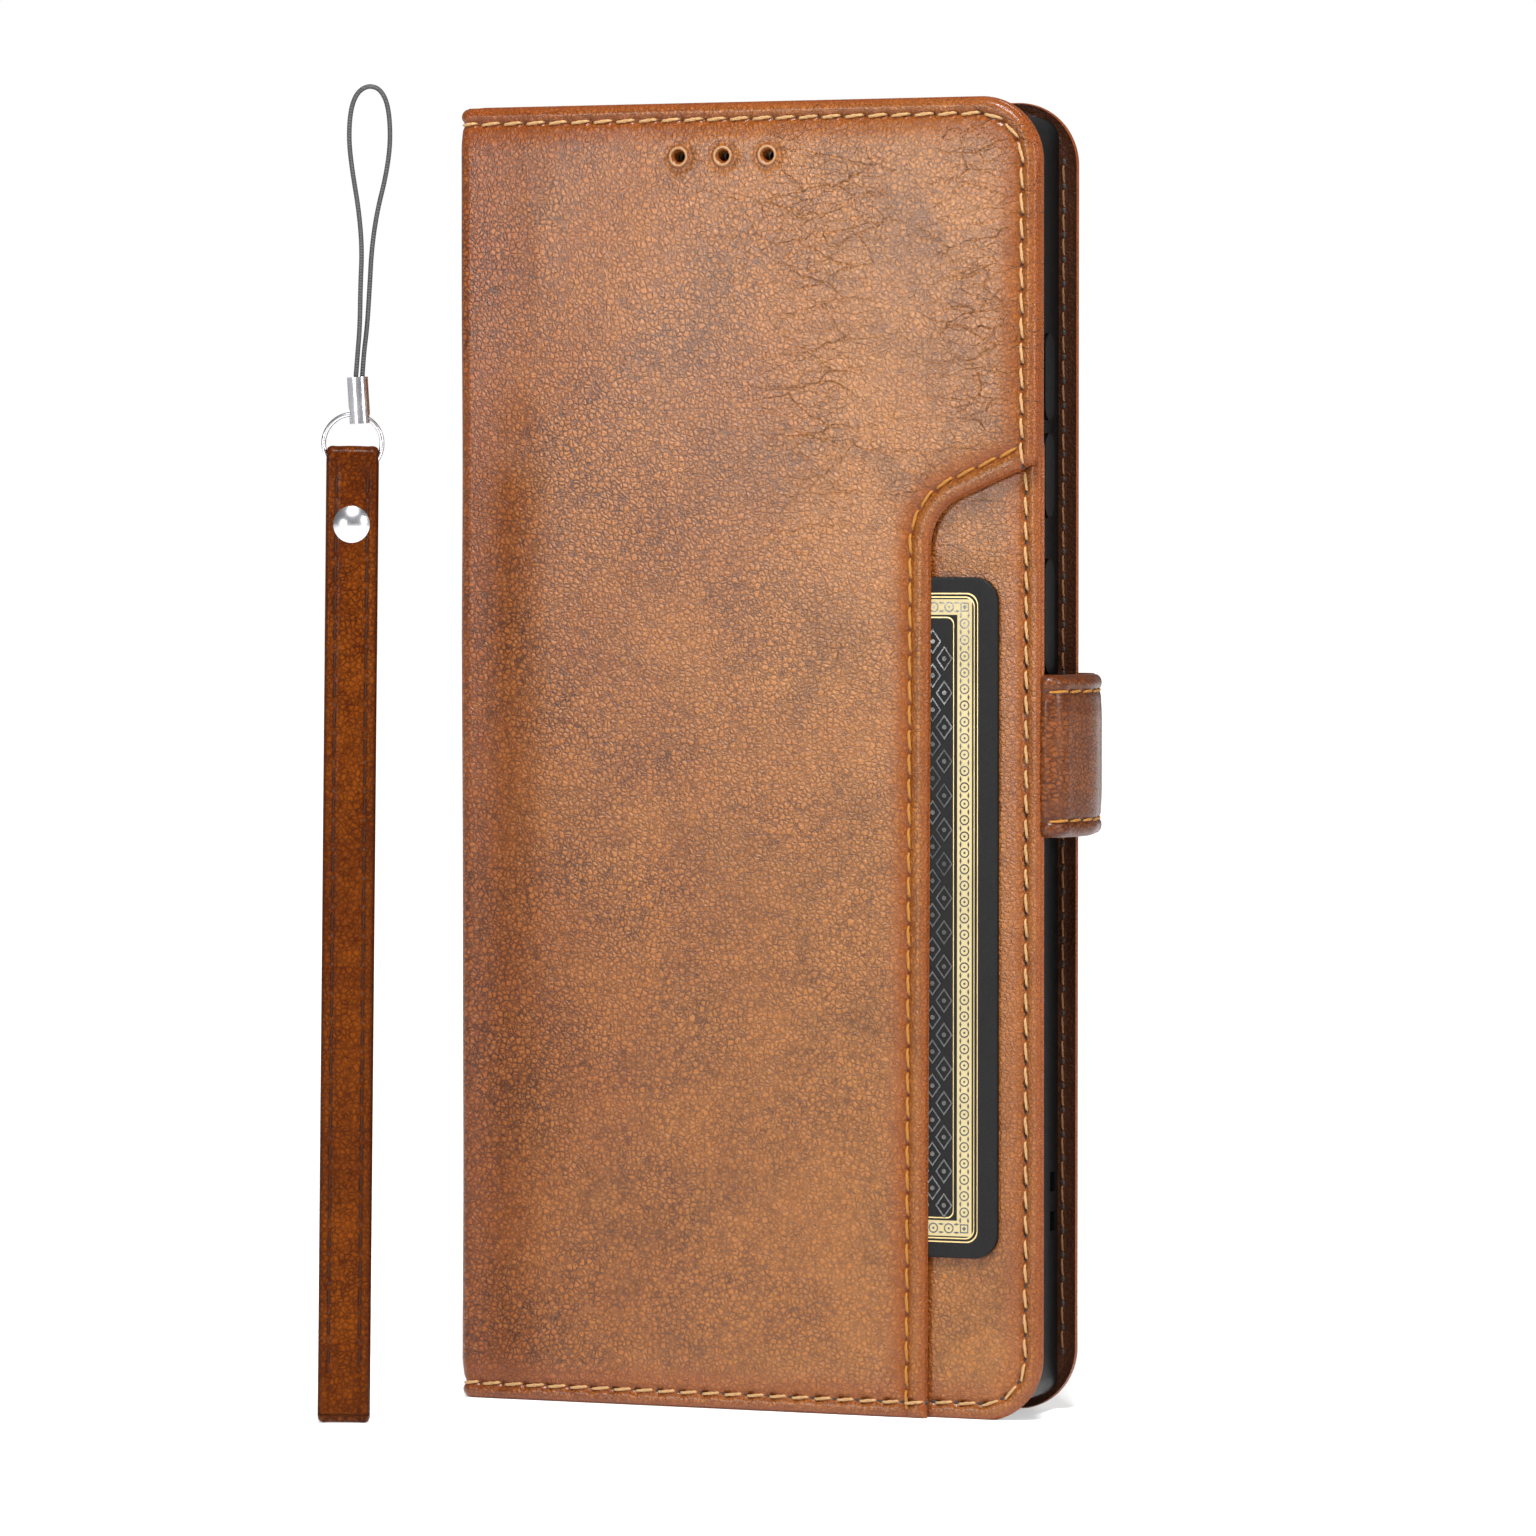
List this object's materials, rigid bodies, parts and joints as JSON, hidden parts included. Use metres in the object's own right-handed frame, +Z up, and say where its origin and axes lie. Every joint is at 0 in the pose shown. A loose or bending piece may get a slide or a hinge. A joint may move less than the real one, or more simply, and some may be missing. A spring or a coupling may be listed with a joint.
{
  "type": "phone wallet case",
  "caption": "Book-style leather phone wallet case with a stepped front card pocket, a magnetic clasp strap, a moulded phone tray and a loose wrist lanyard.",
  "frame": {"origin": "middle of the back cover's bottom edge, on the surface the closed case stands on", "axes": "+Z up along the spine, the front cover faces -Y, the spine is at -X and the opening side at +X"},
  "size_m": [0.0878, 0.0511, 0.1675],
  "materials": {
    "tan_leather": "semi-gloss",
    "strap_leather": "semi-gloss",
    "brown_lining": "satin",
    "stiffener": "matte",
    "black_card": "matte",
    "black_shell": "satin",
    "steel": "satin",
    "magnet": "satin",
    "polished_metal": "polished",
    "grey_cord": "matte"
  },
  "bodies": {
    "case_back": {"back_leather": "tan_leather", "back_board": "stiffener", "back_lining": "brown_lining", "catch_disc": "steel", "phone_shell": "black_shell"},
    "spine": {"spine_leather": "tan_leather", "spine_board": "stiffener", "spine_lining": "brown_lining"},
    "front_cover": {"front_upper_leather": "tan_leather", "front_base_leather": "tan_leather", "front_board": "stiffener", "front_lining": "brown_lining", "clasp_root_tab": "brown_lining", "money_pocket": "brown_lining", "card_slot_1": "brown_lining", "card_slot_2": "brown_lining", "card_slot_3": "brown_lining"},
    "card": {"payment_card": "black_card"},
    "clasp_side": {"clasp_side_outer": "tan_leather", "clasp_side_inner": "brown_lining"},
    "clasp_tail": {"clasp_tail_outer": "tan_leather", "clasp_tail_inner": "brown_lining", "clasp_magnet": "magnet"},
    "volume_up": {"volume_up_button": "black_shell"},
    "volume_down": {"volume_down_button": "black_shell"},
    "power": {"power_button": "black_shell"},
    "lanyard_strap": {"wrist_strap": "strap_leather", "rivet": "polished_metal"},
    "lanyard_ring": {"split_ring": "polished_metal"},
    "lanyard_crimp": {"crimp_tube": "polished_metal", "lanyard_cord": "grey_cord"}
  },
  "joints": [
    {"name": "spine_fold", "type": "hinge", "parent": "case_back", "child": "spine", "pos_m": [-0.03925, 0.001, 0.083], "axis": [0, 0, -1], "range_deg": [0, 90]},
    {"name": "cover_fold", "type": "hinge", "parent": "spine", "child": "front_cover", "pos_m": [-0.03925, -0.016, 0.083], "axis": [0, 0, -1], "range_deg": [0, 90]},
    {"name": "clasp_fold", "type": "hinge", "parent": "front_cover", "child": "clasp_side", "pos_m": [0.04079, -0.01299, 0.0836], "axis": [0, 0, -1], "range_deg": [0, 90], "deforming": ["clasp_side_outer", "clasp_side_inner", "clasp_tail_outer", "clasp_tail_inner"]},
    {"name": "clasp_wrap", "type": "hinge", "parent": "clasp_side", "child": "clasp_tail", "pos_m": [0.04079, 0.00174, 0.0836], "axis": [0, 0, -1], "range_deg": [0, 90]},
    {"name": "card_slide", "type": "slide", "parent": "front_cover", "child": "card", "axis": [1, 0, 0], "range_m": [0, 0.05]},
    {"name": "volume_up_press", "type": "slide", "parent": "case_back", "child": "volume_up", "axis": [-1, 0, 0], "range_m": [0, 0.0003], "stiffness_N_per_m": 600},
    {"name": "volume_down_press", "type": "slide", "parent": "case_back", "child": "volume_down", "axis": [-1, 0, 0], "range_m": [0, 0.0003], "stiffness_N_per_m": 600},
    {"name": "power_press", "type": "slide", "parent": "case_back", "child": "power", "axis": [-1, 0, 0], "range_m": [0, 0.0003], "stiffness_N_per_m": 600},
    {"name": "lanyard_lift", "type": "slide", "parent": "front_cover", "child": "lanyard_strap", "axis": [0, 0, 1], "range_m": [0, 0.05]},
    {"name": "ring_turn", "type": "hinge", "parent": "lanyard_strap", "child": "lanyard_ring", "pos_m": [-0.04092, -0.04531, 0.12273], "axis": [-0.3584, 0.9336, 0], "range_deg": [-30, 30]},
    {"name": "crimp_swing", "type": "hinge", "parent": "lanyard_ring", "child": "lanyard_crimp", "pos_m": [-0.04004, -0.04497, 0.12614], "axis": [0.9021, 0.3463, -0.2574], "range_deg": [-20, 60]}
  ]
}
